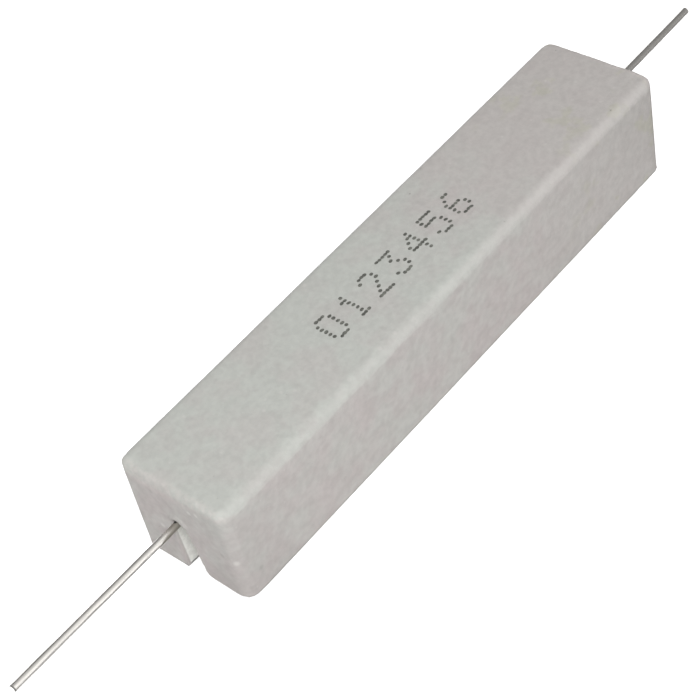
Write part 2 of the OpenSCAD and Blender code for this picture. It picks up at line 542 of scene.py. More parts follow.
def ceramic_tone(tree, case, place, along, on_top, fine):
    """Grey on top and warmer on the sides, mottled, with straw patches far along."""
    even = ramp(tree, along, 8, 20, 1.0, 0.25)
    clouds = place_group(tree, "patches", place, size=3.2, low=0.38, high=0.62)
    broad = place_group(tree, "patches", place, size=9.0, low=0.4, high=0.6)
    far_half = ramp(tree, along, -8, 18, -0.62, 0.08)
    lean = maths(tree, "MULTIPLY_ADD", on_top, far_half, 0.72)
    drift = maths(tree, "ADD", maths(tree, "MULTIPLY_ADD", clouds, 0.4, -0.2),
                  maths(tree, "MULTIPLY_ADD", broad, 0.3, -0.15))
    warmth = maths(tree, "MULTIPLY_ADD", drift, even, lean, clamp=True)
    tone = mix(tree, warmth, opaque(case.body), opaque(case.warm))
    straw = place_group(tree, "patches", place, size=2.6, low=0.56, high=0.66)
    tone = mix(tree, product(tree, straw, ramp(tree, along, 14, 24, 0, 0.7)), tone,
               opaque(case.straw))
    mottle = place_group(tree, "patches", place, size=0.7, detail=4.0, low=0.3, high=0.7)
    shade = maths(tree, "MULTIPLY_ADD", mottle, 0.09, product(tree, fine, 0.04))
    return mix(tree, shade, tone, BLACK)


def rub_and_highlight_edges(tree, case, place, along, from_middle, droop, flecks, tone):
    """Pale edges round the top, rubbed pale and lit by a painted highlight, broken by flecks
    at the ends.
    """
    lift = node(tree, "CombineXYZ", {"Z": droop}).outputs[0]
    drooped = node(tree, "VectorMath", {0: place, 1: lift}, operation="ADD").outputs[0]
    wear_and_highlight = place_group(tree, "edge_wear_and_highlight", drooped, reach=1.02, raggedness=0.5,
                       half_length=HALF_L, half_width=HALF_W, height=CASE_H)
    at_end = ramp(tree, from_middle, HALF_L - 1.4, HALF_L - 0.6)
    fleck = maths(tree, "MULTIPLY_ADD", maths(tree, "SUBTRACT", flecks, 1.0),
                  product(tree, at_end, 0.7), 1.0)
    strength = maths(tree, "ADD", ramp(tree, along, -25, 25, 0.14, 0.42),
                     product(tree, at_end, 0.2))
    worn = mix(tree, at_end, opaque(case.worn), opaque(case.worn_end))
    return mix(tree, product(tree, wear_and_highlight, strength, fleck), tone, worn)


def shade_notches(tree, case, across, up, from_middle, flecks, tone):
    """Notch walls painted pale against their shade, painted shade high in the notches and
    deeper at their foot, and a painted shadow along the foot all round.
    """
    in_wall = product(tree, ramp(tree, from_middle, HALF_L - 0.25, HALF_L - 0.1, 1, 0),
                      ramp(tree, from_middle, HALF_L - 2.1, HALF_L - 1.9))
    beside = maths(tree, "ABSOLUTE", maths(tree, "SUBTRACT", across, mm(case.notch_y)))
    in_notch = product(tree, in_wall, ramp(tree, beside, 2.4, 2.8, 1, 0))
    off_rim = ramp(tree, up, 0.08, 0.16)
    # Painted light: the notch walls are painted pale, brighter than their shade leaves them
    painted_light_wall = product(tree, in_notch, off_rim,
                    ramp(tree, up, LEAD_Z - 1.7, LEAD_Z - 1.3, 1, 0),
                    ramp(tree, flecks, 0, 1, 0.8, 1))
    # Painted shade high in the notches and deeper at their foot, and a painted shadow along
    # the foot all round
    roof_shade = product(tree, in_notch, ramp(tree, up, LEAD_Z - 1.3, LEAD_Z - 0.9),
                   ramp(tree, up, LEAD_Z + 1.0, LEAD_Z + 1.3, 0.95, 0))
    foot = product(tree, off_rim, ramp(tree, up, 0.12, 0.48, 0.95, 0.0))
    notch_foot_shade = product(tree, in_notch, off_rim, ramp(tree, up, 0.35, 0.6, 0.9, 0.0))
    tone = mix(tree, painted_light_wall, tone, opaque(case.pale_tone))
    for mask, brightness in ((roof_shade, 0.1), (foot, 0.7), (notch_foot_shade, 0.2)):
        tone = mix(tree, mask, tone, opaque(brightness * part for part in case.dirt_and_shade))
    return tone


def mark_near_end(tree, case, place, up, tone):
    """The pale lip over the near lead, the painted shade in the gap under it and the single
    marks.
    """
    from_lead = distance_from(tree, place, (-HALF_L, 0.06, LEAD_Z - 0.06))
    off_ring = maths(tree, "ABSOLUTE", maths(tree, "SUBTRACT", from_lead, 0.62))
    lip = product(tree, ramp(tree, up, LEAD_Z - 0.3, LEAD_Z),
                  ramp(tree, off_ring, 0.05, 0.16, 0.55, 0))
    tone = mix(tree, lip, tone, opaque(case.pale_tone))
    # The gap over the lead is painted black as its shade
    tone = mix(tree, lead_gap_shade(tree, place), tone, (0.01, 0.01, 0.01, 1))
    for marks, shown, amount in ((PALE_MARKS, case.pale_tone, 0.26),
                                 (DARK_MARKS, case.dirt_and_shade, 0.36)):
        for point, reach in marks:
            away = distance_from(tree, place, point)
            tone = mix(tree, ramp(tree, away, 0.1, reach, amount, 0), tone, opaque(shown))
    return tone


def ceramic_material(case):
    """Matt fired ceramic, faintly mottled, rubbed pale along its edges and painted there
    with a highlight, with painted light and shade in the notches and a painted shadow along
    its foot.
    """
    material, tree, shader, place = new_material("Fired ceramic")
    along, across, up = node(tree, "SeparateXYZ", {0: place}).outputs
    from_middle = maths(tree, "ABSOLUTE", along)
    # The top's tone reaches down over the near end's edge, most at plus Y
    droop = product(tree, ramp(tree, across, -HALF_W - 1, HALF_W / 2), 0.8,
                    ramp(tree, along, 1.2 - HALF_L, 0.4 - HALF_L))
    spread = ramp(tree, from_middle, HALF_L - 2, HALF_L - 0.5, 0.5, 0)
    on_top = ramp(tree, maths(tree, "ADD", up, maths(tree, "ADD", droop, spread)),
                  CASE_H - 0.7, CASE_H - 0.1)
    fine = place_group(tree, "patches", place, size=1.6, low=0.35, high=0.68)
    flecks = place_group(tree, "patches", place, size=0.45, low=0.4, high=0.6)
    tone = ceramic_tone(tree, case, place, along, on_top, fine)
    tone = rub_and_highlight_edges(tree, case, place, along, from_middle, droop, flecks, tone)
    tone = shade_notches(tree, case, across, up, from_middle, flecks, tone)
    tone = mark_near_end(tree, case, place, up, tone)
    blotches = place_group(tree, "specks", place, size=0.3, apart=0.9, share=0.4)
    pits = place_group(tree, "specks", place, size=0.09, apart=1.7, share=0.3)
    grit = place_group(tree, "specks", place, size=0.2, apart=1.1, share=0.3)
    for specks, amount, shown in ((blotches, 0.09, case.dirt_and_shade), (pits, 0.4, case.dirt_and_shade),
                                  (grit, 0.3, case.worn)):
        tone = mix(tree, product(tree, specks, amount), tone, opaque(shown))
    tree.links.new(tone, shader.inputs["Base Color"])
    tree.links.new(ramp(tree, fine, 0.0, 1.0, 0.62, 0.74), shader.inputs["Roughness"])
    grain = place_group(tree, "grain", place, size=0.35)
    bump(tree, shader, maths(tree, "SUBTRACT", grain, product(tree, pits, 2.0)), 0.03)
    return material


def cement_material(cement):
    """Coarse grey cement with sand grains and pores."""
    material, tree, shader, place = new_material("Set cement")
    broad = place_group(tree, "patches", place, size=3.5)
    grains = place_group(tree, "specks", place, size=0.22, apart=0.6, share=0.5)
    tone = mix(tree, product(tree, broad, 0.35), opaque(cement.body),
               opaque(0.8 * part for part in cement.body))
    sandy = mix(tree, product(tree, grains, 0.6), tone, opaque(cement.sand))
    tree.links.new(sandy, shader.inputs["Base Color"])
    tree.links.new(ramp(tree, broad, 0.0, 1.0, 0.75, 0.9), shader.inputs["Roughness"])
    bump(tree, shader, place_group(tree, "grain", place, size=0.4), 0.08)
    return material


def wire_material(lead):
    """Tinned wire with drawing marks, dull and brown where it is bare, with painted shade
    under its root, in the gap over the near root and round the near tip.
    """
    material, tree, shader, place = new_material("Tinned wire")
    drawn = node(tree, "Mapping", {"Vector": place, "Scale": (0.05, 1.0, 1.0)})
    marks = place_group(tree, "patches", drawn.outputs[0], size=0.12, low=0.3, high=0.7)
    smears = place_group(tree, "patches", place, size=1.4, low=0.45, high=0.7)
    tinned = mix(tree, product(tree, marks, 0.35), opaque(lead.tin),
                 opaque(0.72 * part for part in lead.tin))
    along, across, up = node(tree, "SeparateXYZ", {0: place}).outputs
    from_middle = maths(tree, "ABSOLUTE", along)
    axis_y = ramp(tree, along, -1, 1, NEAR_ELBOW_Y, FAR_ELBOW_Y)
    beside = maths(tree, "SUBTRACT", axis_y, across)
    below = maths(tree, "SUBTRACT", LEAD_Z, up)
    # The bare stretch is longest on the lower side at minus Y, where its dull colour is
    # drawn out as painted shade
    underside = maths(tree, "MULTIPLY_ADD", beside, 0.8, product(tree, below, 0.59))
    reach = ramp(tree, underside, -0.05, 0.3, 0.0, -1.5)
    edge = maths(tree, "ADD", reach,
                 maths(tree, "MULTIPLY_ADD", smears, 0.5, from_middle))
    bare = ramp(tree, edge, HALF_L + 0.7, HALF_L + 1.7, 1.0, 0.0)
    # Painted shade: the bare wire darkens towards black along its lower side at minus Y
    under_shade = product(tree, bare, ramp(tree, underside, 0.05, 0.3, 0.0, 0.2))
    dull = mix(tree, under_shade, opaque(lead.bare), (0.05, 0.04, 0.03, 1))
    wire = mix(tree, bare, tinned, dull)
    # Painted shade round the near tip, and in the gap over the near root
    from_tip = distance_from(tree, place, (NEAR_TIP_X, NEAR_TIP_Y, LEAD_Z))
    rim = product(tree, ramp(tree, from_tip, 0.24, 0.32, 0, 0.85),
                  ramp(tree, along, NEAR_TIP_X + 0.08, NEAR_TIP_X + 0.2, 1, 0))
    dark = maths(tree, "MAXIMUM", lead_gap_shade(tree, place), rim)
    tree.links.new(mix(tree, dark, wire, (0.012, 0.012, 0.012, 1)),
                   shader.inputs["Base Color"])
    tree.links.new(maths(tree, "SUBTRACT", 1.0, dark), shader.inputs["Metallic"])
    rough = maths(tree, "MULTIPLY_ADD", bare, 0.3,
                  ramp(tree, smears, 0.0, 1.0, 0.2, 0.34))
    tree.links.new(rough, shader.inputs["Roughness"])
    bump(tree, shader, maths(tree, "MULTIPLY_ADD", smears, 0.6, marks), 0.006)
    return material


def ink_material(printing):
    """Thin matt ink that covers unevenly."""
    material, tree, shader, place = new_material("Printed ink")
    uneven = place_group(tree, "patches", place, size=0.5, low=0.35, high=0.7)
    thin = opaque(min(1.0, 2.2 * part) for part in printing.ink)
    tree.links.new(mix(tree, product(tree, uneven, 0.8), opaque(printing.ink), thin),
                   shader.inputs["Base Color"])
    tree.links.new(ramp(tree, uneven, 0.0, 1.0, 0.55, 0.75), shader.inputs["Roughness"])
    bump(tree, shader, place_group(tree, "grain", place, size=0.3), 0.01)
    return material


def inner_material(name, base, dark, roughness, metallic, size):
    """Finish of a piece that is sealed in the cement."""
    material, tree, shader, place = new_material(name)
    patches = place_group(tree, "patches", place, size=size)
    tree.links.new(mix(tree, patches, opaque(base), opaque(dark)),
                   shader.inputs["Base Color"])
    shader.inputs["Metallic"].default_value = metallic
    tree.links.new(ramp(tree, patches, 0.0, 1.0, roughness, roughness + 0.15),
                   shader.inputs["Roughness"])
    bump(tree, shader, place_group(tree, "grain", place, size=0.25), 0.01)
    return material


# Shapes


def flank_reach(radius, slope, below):
    """How far a notch's flank stands from its middle, below the centre of its top."""
    return radius / math.cos(slope) + math.tan(slope) * below


# How far the notch's flanks lean, in degrees
LEFT_SLOPE, RIGHT_SLOPE = -1.5, 8.5


def notch_cutter(case, end):
    """The shape of a notch: a leaning wedge with a round top and a spread foot."""
    radius, middle_y = mm(case.notch_r), mm(case.notch_y)
    top_centre = LEAD_Z + LEAD_R + mm(case.notch_gap) - radius
    x = end * (HALF_L - 1)
    box = add_box("notch_cutter", (x - 2.2, middle_y - 4, -PAST),
                  (x + 2.2, middle_y + 4, 0))
    flanks = ((1, math.radians(LEFT_SLOPE), mm(case.left_lip_r)),
              (-1, math.radians(RIGHT_SLOPE), mm(case.right_lip_r)))
    room = {1: mm(case.notch_room), -1: 0}
    shoulder, top = LEAD_Z - 0.8, top_centre + radius
    feet = [middle_y + side * (flank_reach(radius, slope, top_centre) + room[side])
            for side, slope, _ in flanks]
    levels = (
        (shoulder, [middle_y + side * (flank_reach(radius, slope, top_centre - shoulder)
                                       + room[side]) for side, slope, _ in flanks]),
        (top, [middle_y + side * flank_reach(radius, slope, -radius)
               for side, slope, _ in flanks]),
    )
    edit(box)
    for foot in feet:
        bpy.ops.mesh.select_all(action="SELECT")
        bpy.ops.mesh.bisect(plane_co=(0, foot, 0), plane_no=(0, 1, 0))
    select(box, "FACE", lambda face: face.normal.z > 0.9
           and min(feet) < face.calc_center_median().y < max(feet))
    height, sides = 0, feet
    for next_height, next_sides in levels:
        bpy.ops.mesh.extrude_region_move(
            TRANSFORM_OT_translate={"value": (0, 0, next_height - height)})
        for here, there in zip(sides, next_sides):
            select(box, "VERT", lambda vert: abs(vert.co.z - next_height) < 1e-4
                   and abs(vert.co.y - here) < 1e-4)
            bpy.ops.transform.translate(value=(0, there - here, 0))
        height, sides = next_height, next_sides
        select(box, "FACE", lambda face: face.normal.z > 0.9
               and abs(face.calc_center_median().z - next_height) < 1e-4)
    select(box, "EDGE", lambda edge: runs_along(edge, 0)
           and abs(middle(edge).z - top) < 1e-3)
    bpy.ops.mesh.bevel(offset=0.93 * radius, segments=8, affect="EDGES")
    for (side, slope, lip_r), foot in zip(flanks, feet):
        select(box, "EDGE", lambda edge: runs_along(edge, 0)
               and abs(middle(edge).z) < 1e-4 and abs(middle(edge).y - foot) < 1e-3)
        bpy.ops.mesh.bevel(offset=lip_r * math.tan(math.pi / 4 - slope / 2), segments=8,
                           affect="EDGES")
    leave_edit()
    return box


def trough_cutter(case):
    """The shape of the trough, with rounded upright corners."""
    low, high = CEMENT_LOW.copy(), CEMENT_HIGH.copy()
    low.z -= PAST
    box = add_box("trough_cutter", low, high)
    edit(box)
    select(box, "EDGE", lambda edge: runs_along(edge, 2))
    bpy.ops.mesh.bevel(offset=mm(case.trough_corner_r), segments=6, affect="EDGES")
    leave_edit()
    return box


# How far each corner of the block, named by its signs, is off its true place
CORNER_MOVES = {
    (-1, 1, -1): (-0.3, 0, 0),
    (-1, 1, 1): (-0.04, -0.1, -0.05),
    (1, 1, 1): (-0.25, 0, -0.015),
    (1, -1, 1): (0.06, 0, 0),
    (1, -1, -1): (0.03, 0, 0),
}


# Voxels that melt the cut shell into one skin, before it is worn
VOXEL = 0.19


def rounded_case(case):
    """The block of the case with each of its edges rounded."""
    play = Vector((0, 0, INK_ROOM))
    box = add_box("ceramic_case_shell", CASE_LOW + play, CASE_HIGH - play)
    edit(box)
    for signs, move in CORNER_MOVES.items():
        select(box, "VERT", lambda vert: vert.co.x * signs[0] > 0
               and vert.co.y * signs[1] > 0 and (vert.co.z - CASE_H / 2) * signs[2] > 0)
        bpy.ops.transform.translate(value=move)
    leave_edit()
    widest = mm(case.upright_edge_r)
    edges = (
        (lambda edge: runs_along(edge, 2), widest),
        (lambda edge: runs_along(edge, 2) and middle(edge).x > 0 and middle(edge).y < 0,
         mm(case.far_edge_r)),
        (lambda edge: runs_along(edge, 0) and middle(edge).z > 1 and middle(edge).y < 0,
         mm(case.top_edge_r)),
        (lambda edge: runs_along(edge, 0) and middle(edge).z > 1 and middle(edge).y > 0,
         mm(case.left_top_edge_r)),
        (lambda edge: runs_along(edge, 1) and middle(edge).z > 1,
         mm(case.end_top_edge_r)),
        (lambda edge: runs_along(edge, 0) and middle(edge).z < 1, mm(case.rim_edge_r)),
        (lambda edge: runs_along(edge, 1) and middle(edge).z < 1,
         mm(case.end_rim_edge_r)),
    )
    edit(box)
    for wanted, radius in edges:
        select(box, "EDGE", wanted)
        bpy.ops.transform.edge_bevelweight(value=radius / widest)
    leave_edit()
    modifier(box, "BEVEL", width=widest, segments=9, limit_method="WEIGHT")
    return box


def edge_distance(co):
    """How far each point is from the nearest edge of the block."""
    spaces = np.sort(np.stack([HALF_L - abs(co[:, 0]), HALF_W - abs(co[:, 1]),
                               np.minimum(co[:, 2], CASE_H - co[:, 2])]), axis=0)
    return spaces[1]


def build_case(case):
    """The fired shell: rounded, hollowed, notched, then worn."""
    shell = rounded_case(case)
    cut(shell, [trough_cutter(case), notch_cutter(case, -1), notch_cutter(case, 1)])
    modifier(shell, "REMESH", mode="VOXEL", voxel_size=VOXEL)
    co = points(shell)
    over_end = (HALF_L - abs(co[:, 0]) < 1.2) & (CASE_H - co[:, 2] < 1.2)
    edge_share = np.where(over_end, np.where(co[:, 0] < 0, 1, 0.4), 0.15)
    near_edge = weights(shell, "near_edge",
                        edge_share * (1 - smoothstep(edge_distance(co), 0.2, 0.9)))
    outside = weights(shell, "outside", 1 - smoothstep(
        np.minimum(HALF_L - abs(co[:, 0]), np.minimum(HALF_W - abs(co[:, 1]),
                                                      CASE_H - co[:, 2])), 0.3, 1.0))
    x, y, z = co.T
    at_near_end = 1 - smoothstep(x + HALF_L, 0.6, 2.2)
    from_near_edge = np.hypot(x + HALF_L, z - CASE_H)
    worn_away = weights(shell, "worn_away",
                        smoothstep(y, -4, 3) * (1 - smoothstep(y, 4, 6.4))
                        * (1 - smoothstep(from_near_edge, 0.2, 1.7)))
    modifier(shell, "DISPLACE", strength=-0.16, mid_level=0, vertex_group=worn_away)
    short_leg = weights(shell, "short_leg", at_near_end * (1 - smoothstep(z, 0, 2.0))
                        * np.clip((y + 7) / 5, 0, 1) * (y < 0))
    modifier(shell, "DISPLACE", strength=0.45, mid_level=0, direction="Z",
             vertex_group=short_leg)
    worn_corner = weights(shell, "worn_corner", smoothstep(x, HALF_L - 3, HALF_L - 0.5)
                          * (1 - smoothstep(y, -6.1, -3.8)) * smoothstep(y, -5.8, -5.0)
                          * smoothstep(z, 9, 11.3))
    modifier(shell, "DISPLACE", strength=-0.2, mid_level=0, direction="Z",
             vertex_group=worn_corner)
    from_foot = np.linalg.norm(co - (-HALF_L, -HALF_W, 0), axis=1)
    worn_foot = weights(shell, "worn_foot", 1 - smoothstep(from_foot, 0.4, 2.2))
    modifier(shell, "DISPLACE", strength=-0.07, mid_level=0, vertex_group=worn_foot)
    from_lip = abs(np.hypot(y - mm(case.notch_y), z - LEAD_Z) - 0.75)
    raised_lip = weights(shell, "raised_lip",
                         at_near_end * (1 - smoothstep(from_lip, 0.1, 0.5))
                         * smoothstep(z, LEAD_Z - 0.4, LEAD_Z + 0.2))
    modifier(shell, "DISPLACE", strength=-0.2, mid_level=0, direction="X",
             vertex_group=raised_lip)
    wave = relief_texture("case_wave", 14.0, noise_depth=1)
    modifier(shell, "DISPLACE", texture=wave, strength=0.05, mid_level=1.0,
             vertex_group=outside)
    lumps = relief_texture("case_lumps", 1.1, noise_depth=2)
    modifier(shell, "DISPLACE", texture=lumps, strength=0.014, mid_level=1.0,
             vertex_group=outside)
    chips = relief_texture("case_chips", 0.6, noise_depth=3, contrast=2.0)
    modifier(shell, "DISPLACE", texture=chips, strength=0.13, mid_level=1.0,
             vertex_group=near_edge)
    modifier(shell, "DECIMATE", ratio=0.5)
    activate(shell)
    bpy.ops.object.shade_smooth()
    finish_piece(shell, "ceramic_case_shell", ceramic_material(case),
                 ["ceramic_case"])


def build_cement(cement, case):
    """The cement: moulded by the trough and the element, struck off rough below."""
    block = add_box("cement", CEMENT_LOW, CEMENT_HIGH)
    edit(block)
    select(block, "EDGE", lambda edge: runs_along(edge, 2))
    bpy.ops.mesh.bevel(offset=mm(case.trough_corner_r), segments=6, affect="EDGES")
    select(block, "FACE", lambda face: face.normal.z < -0.9)
    bpy.ops.mesh.inset(thickness=0.12)
    step = 0.4
    spans = ((CEMENT_LOW.x, CEMENT_HIGH.x), (CEMENT_LOW.y, CEMENT_HIGH.y))
    for axis, (low, high) in enumerate(spans):
        count = int((high - low) / step)
        for i in range(1, count):
            select(block, "FACE", lambda face: face.normal.z < -0.9)
            where, facing = Vector(), Vector()
            where[axis], facing[axis] = low + (high - low) * i / count, 1
            bpy.ops.mesh.bisect(plane_co=where, plane_no=facing)
    leave_edit()
    co = points(block)
    open_face = weights(block, "open_face", (co[:, 2] < 0.01)
                        * smoothstep(np.minimum(CEMENT_HIGH.x - abs(co[:, 0]),
                                                CEMENT_HIGH.y - abs(co[:, 1])), 0.0, 0.5))
    rough = relief_texture("cement_relief", 1.3, noise_depth=4, contrast=1.5)
    modifier(block, "DISPLACE", texture=rough, strength=mm(cement.relief), mid_level=1.1,
             vertex_group=open_face)
    gap = 0.02
    element = [add_bar("element_cutter", (-ELEMENT_END, ELEMENT_Y, ELEMENT_Z),
                       (ELEMENT_END, ELEMENT_Y, ELEMENT_Z), CAP_R + gap, 48)]
    for end, lead_y in ((-1, NEAR_LEAD_Y), (1, FAR_LEAD_Y)):
        element.append(add_bar(
            "wire_cutter", (end * (ELEMENT_END - 1), ELEMENT_Y, ELEMENT_Z),
            (end * (HALF_L + ELBOW_OUT), lead_y, LEAD_Z), BARE_R + gap, 24))
    cut(block, element)
    activate(block)
    bpy.ops.object.shade_smooth_by_angle(angle=math.radians(35))
    finish_piece(block, "cement_block", cement_material(cement), ["cement_fill"])


def build_lead(path, tip_bevel):
    """One lead: a disc drawn out along its path, then bevelled round its tip."""
    deselect_all()
    start, second = Vector(path[0][0]), Vector(path[1][0])
    run = second - start
    bpy.ops.mesh.primitive_circle_add(
        vertices=32, radius=path[0][1], fill_type="NGON", location=start,
        rotation=run.to_track_quat("Z", "Y").to_euler())
    apply_place()
    wire = bpy.context.object
    edit(wire)
    bpy.ops.mesh.select_all(action="SELECT")
    here, radius = start, path[0][1]
    for point, next_radius in path[1:]:
        point = Vector(point)
        bpy.ops.mesh.extrude_region_move(
            TRANSFORM_OT_translate={"value": point - here})
        if abs(next_radius - radius) > 1e-6:
            factor = next_radius / radius
            bpy.ops.transform.resize(value=(factor,) * 3, center_override=point)
        here, radius = point, next_radius
    bpy.ops.mesh.select_all(action="SELECT")
    bpy.ops.mesh.normals_make_consistent(inside=False)
    tip = here
    select(wire, "EDGE", lambda edge: len(edge.link_faces) == 2
           and (middle(edge) - tip).length < 1.2 * radius
           and abs(middle(edge).x - tip.x) < 1e-3)
    bpy.ops.mesh.bevel(offset=tip_bevel, segments=3, affect="EDGES")
    leave_edit()
    bpy.ops.object.shade_smooth_by_angle(angle=math.radians(50))
    return wire


def lead_path(lead, end, elbow_y, tip_x, tip_y):
    """Points and radii of a lead, bare up to its elbow and tinned on to its tip."""
    bare, tinned = mm(lead.bare_r), mm(lead.tinned_r)
    elbow_r = 0.355
    elbow_x = HALF_L + ELBOW_OUT
    path = [((end * ELEMENT_END, ELEMENT_Y, ELEMENT_Z), bare)]
    for i in (1, 2, 3, 4, 5, 6):
        t = i / 6
        path.append(((end * (ELEMENT_END + (elbow_x - ELEMENT_END) * t),
                      ELEMENT_Y + (elbow_y - ELEMENT_Y) * t,
                      ELEMENT_Z + (LEAD_Z - ELEMENT_Z) * t), bare if i < 6 else elbow_r))
    steps = 24
    for i in range(1, steps + 1):
        t = i / steps
        path.append(((end * (elbow_x + (tip_x - elbow_x) * t),
                      elbow_y + (tip_y - elbow_y) * t, LEAD_Z), tinned))
    return path


def build_leads(lead):
    """The two leads, the near one cut square and the far one with a rounded end."""
    material = wire_material(lead)
    near = build_lead(lead_path(lead, -1, NEAR_ELBOW_Y, -NEAR_TIP_X, NEAR_TIP_Y), 0.05)
    far = build_lead(lead_path(lead, 1, FAR_ELBOW_Y, FAR_TIP_X - 0.01, FAR_TIP_Y), 0.12)
    dents = relief_texture("wire_dents", 1.8, noise_depth=2)
    for wire, name, node_name in ((near, "near_lead_wire", "near_lead"),
                                  (far, "far_lead_wire", "far_lead")):
        modifier(wire, "DISPLACE", texture=dents, strength=0.03, mid_level=1.0)
        finish_piece(wire, name, material, [node_name])


# Radius of a dot of ink, and each digit's rows of dots
DOT_R = 0.18
DIGIT_ROWS = {
    "0": ("01110", "10001", "10001", "10001", "10001", "10001", "01110"),
    "1": ("00100", "01100", "00100", "00100", "00100", "00100", "01110"),
    "2": ("01110", "10001", "00001", "00010", "00100", "01000", "11111"),
    "3": ("11111", "00010", "00100", "00010", "00001", "10001", "01110"),
    "4": ("00010", "00110", "01010", "10010", "11111", "00010", "00010"),
    "5": ("11111", "10000", "11110", "00001", "00001", "10001", "01110"),
    "6": ("00110", "01000", "10000", "11110", "10001", "10001", "01110"),
}


def build_digits(printing):
    """Plain digits in dots of ink, modelled once and copied, then laid on the case."""
    deselect_all()
    bpy.ops.mesh.primitive_circle_add(vertices=12, radius=DOT_R, fill_type="NGON")
    dot = bpy.context.object
    edit(dot)
    bpy.ops.mesh.select_all(action="SELECT")
    bpy.ops.mesh.inset(thickness=0.05)
    bpy.ops.transform.translate(value=(0, 0, 0.006))
    leave_edit()
    rng = random.Random(5)
    dots = []
    for index, digit in enumerate(printing.digits):
        for row, line in enumerate(DIGIT_ROWS[digit]):
            for column, mark in enumerate(line):
                if mark == "0":
                    continue
                copy = dot.copy()
                copy.data = dot.data.copy()
                bpy.context.collection.objects.link(copy)
                copy.location = (
                    -HALF_L + mm(printing.first_x) + index * mm(printing.digit_pitch)
                    + column * mm(printing.column_pitch) + rng.uniform(-0.03, 0.03),
                    mm(printing.top_y) - row * mm(printing.row_pitch)
                    + rng.uniform(-0.03, 0.03),
                    CASE_H + 0.2)
                copy.scale = (rng.uniform(1.1, 1.4), rng.uniform(0.9, 1.1), 1)
                copy.rotation_euler.z = rng.uniform(-0.35, 0.35)
                dots.append(copy)
    bpy.data.objects.remove(dot)
    activate(dots[0])
    for piece in dots:
        piece.select_set(True)
    bpy.ops.object.join()
    apply_place()
    printed = bpy.context.object
    # The case is finished by now, so it is in metres
    shell = bpy.data.objects["ceramic_case_shell"]
    shell.scale = (1 / MM,) * 3
    modifier(printed, "SHRINKWRAP", target=shell, wrap_method="PROJECT",
             use_project_z=True, use_negative_direction=True,
             use_positive_direction=False, offset=0.012)
    shell.scale = (1, 1, 1)
    finish_piece(printed, "printed_digits", ink_material(printing))


def finish_inner_pieces():
    """Finishes for the CAD pieces that are sealed in the cement."""
    finishes = {
        "core_rod": inner_material("Core ceramic", (0.84, 0.82, 0.76), (0.74, 0.71, 0.65),
                                   0.6, 0.0, 1.5),
        "winding": inner_material("Resistance wire", (0.45, 0.42, 0.38),
                                  (0.3, 0.28, 0.26), 0.35, 1.0, 0.8),
        "near_cap": inner_material("Cap steel", (0.62, 0.62, 0.63), (0.5, 0.5, 0.51),
                                   0.3, 1.0, 2.0),
    }
    finishes["far_cap"] = finishes["near_cap"]
    for name, material in finishes.items():
        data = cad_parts[name].data
        data.materials.clear()
        data.materials.append(material)


# Stage


def build_camera():
    """The photograph's viewpoint."""
    data = bpy.data.cameras.new("camera")
    data.lens = 97.655
    data.sensor_width = 36
    data.shift_x, data.shift_y = -0.0007, 0.0007
    data.clip_start = 0.01
    camera = bpy.data.objects.new("camera", data)
    camera.location = Vector((-84.436, -93.357, 133.829)) * MM
    camera.rotation_euler = Euler([math.radians(a) for a in (42.5388, 10.1875, -50.0076)])
    bpy.context.scene.collection.objects.link(camera)
    bpy.context.scene.camera = camera


def to_the_eye(tree):
    """1 for rays from the camera and for what metal and glass reflect or show."""
    path = tree.nodes.new("ShaderNodeLightPath")
    seen = maths(tree, "ADD", path.outputs["Is Camera Ray"],
                 path.outputs["Is Glossy Ray"])
    return maths(tree, "ADD", seen, path.outputs["Is Transmission Ray"], clamp=True)


def build_world(stage):
    """Even light, and plain white where it is looked at."""
    world = bpy.data.worlds.new("studio")
    world.use_nodes = True
    tree = world.node_tree
    background = tree.nodes["Background"]
    background.inputs["Color"].default_value = (1, 1, 1, 1)
    strength = ramp(tree, to_the_eye(tree), 0.0, 1.0, stage.ambient, 1.0)
    tree.links.new(strength, background.inputs["Strength"])
    bpy.context.scene.world = world


def build_floor(stage):
    """A pale floor that shows white, with the object's faint shadow."""
    deselect_all()
    bpy.ops.mesh.primitive_plane_add(size=3, location=(0, 0, 0))
    floor = bpy.context.object
    floor.name = "floor"
    material = bpy.data.materials.new("Pale floor")
    material.use_nodes = True
    tree = material.node_tree
    shader = tree.nodes["Principled BSDF"]
    shader.inputs["Base Color"].default_value = opaque(stage.floor)
    shader.inputs["Roughness"].default_value = 1.0
    shader.inputs["Specular IOR Level"].default_value = 0.0
    shader.inputs["Emission Color"].default_value = (1, 1, 1, 1)
    glow = product(tree, to_the_eye(tree), 0.7)
    tree.links.new(glow, shader.inputs["Emission Strength"])
    floor.data.materials.append(material)


def build_key(stage):
    """A large soft lamp, above and to the right of the near end."""
    data = bpy.data.lights.new("key", "AREA")
    data.shape = "DISK"
    data.size = 0.16
    data.energy = stage.key_power
    lamp = bpy.data.objects.new("key", data)
    toward = Vector((-0.42, -0.467, 0.779)).normalized()
    lamp.location = toward * 0.25
    lamp.rotation_euler = toward.to_track_quat("Z", "Y").to_euler()
    lamp.visible_glossy = False
    bpy.context.scene.collection.objects.link(lamp)


def card_material(name, nearest, farthest):
    """A card's own glow, from one tone at plus Y to another at minus Y."""
    material, tree, shader, place = new_material(name)
    across = node(tree, "SeparateXYZ", {0: place}).outputs[1]
    tone = node(tree, "MapRange", {"Value": across, "From Min": CARD_R,
                                   "From Max": -CARD_R, "To Min": nearest,
                                   "To Max": farthest})
    shader.inputs["Base Color"].default_value = BLACK
    shader.inputs["Specular IOR Level"].default_value = 0.0
    shader.inputs["Emission Strength"].default_value = 1.0
    tree.links.new(tone.outputs[0], shader.inputs["Emission Color"])
    return material


